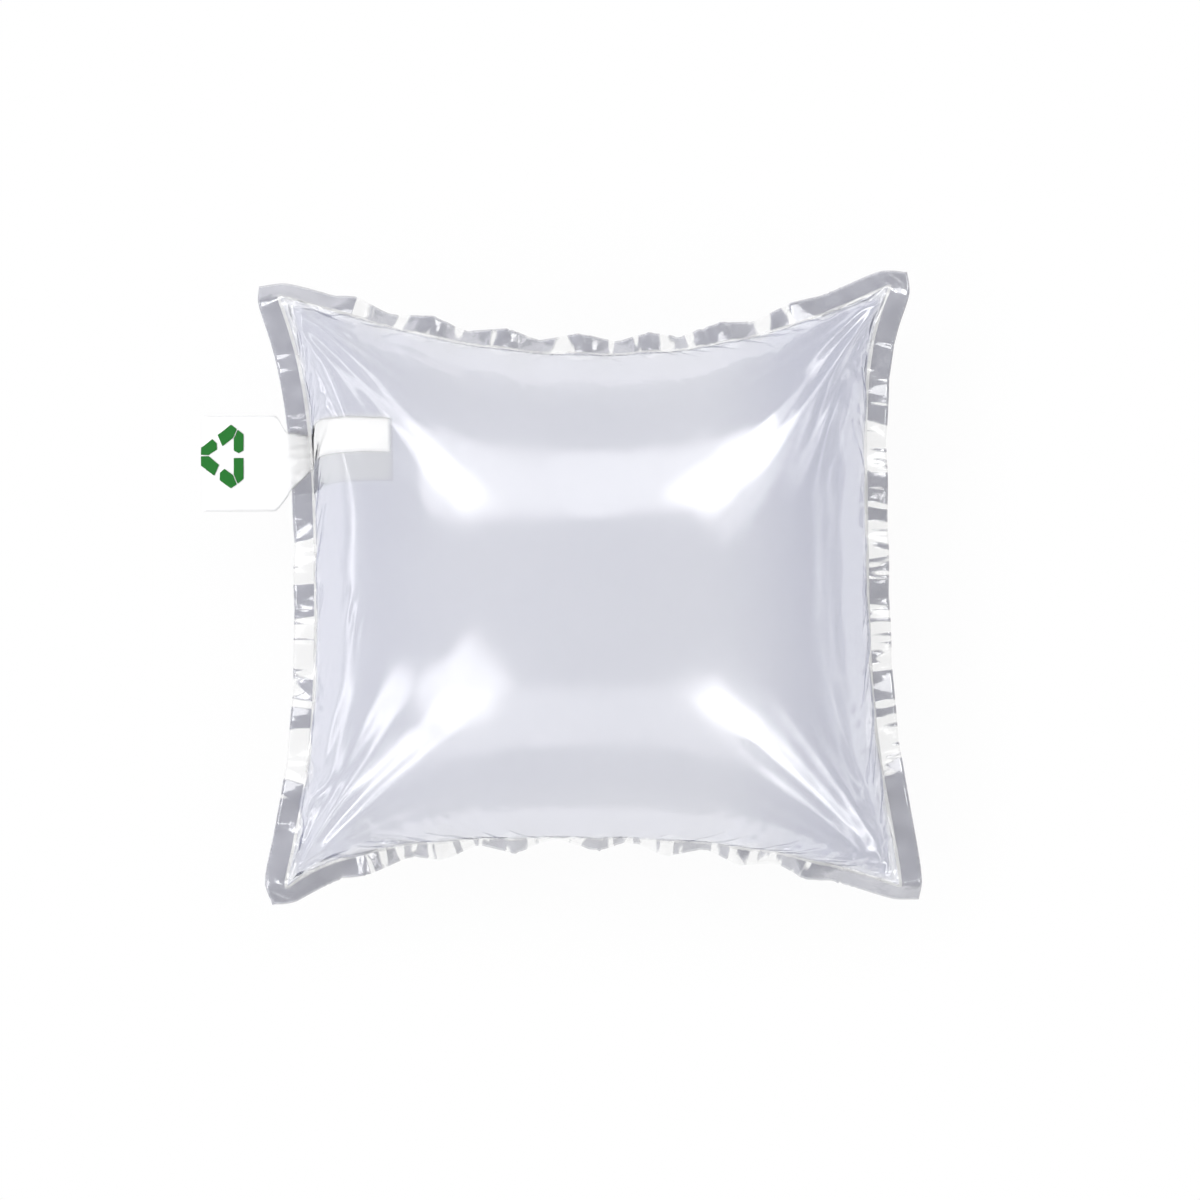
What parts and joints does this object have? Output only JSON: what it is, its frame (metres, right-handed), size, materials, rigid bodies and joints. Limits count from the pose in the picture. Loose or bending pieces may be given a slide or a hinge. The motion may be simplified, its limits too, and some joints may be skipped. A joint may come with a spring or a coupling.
{
  "type": "inflated cushion bag",
  "caption": "Clear pillow-shaped film bag filled with air, with a gathered welded border and a flat one-way valve on one side, used to fill empty space in a shipping box.",
  "frame": {"origin": "middle of the small flat where the back film of the filled bag rests on the ground", "axes": "+Z from the back film to the front film, +X across the bag away from the side that holds the valve, +Y towards the top side, the one nearer the valve"},
  "size_m": [0.3034, 0.2697, 0.1122],
  "materials": {
    "bag_film": "clear glossy film with a faint cool grey tint",
    "valve_film": "milky white satin film"
  },
  "bodies": {
    "root": {"front_film": "bag_film", "back_film": "bag_film", "valve_front_film": "valve_film", "valve_back_film": "valve_film"}
  },
  "joints": []
}
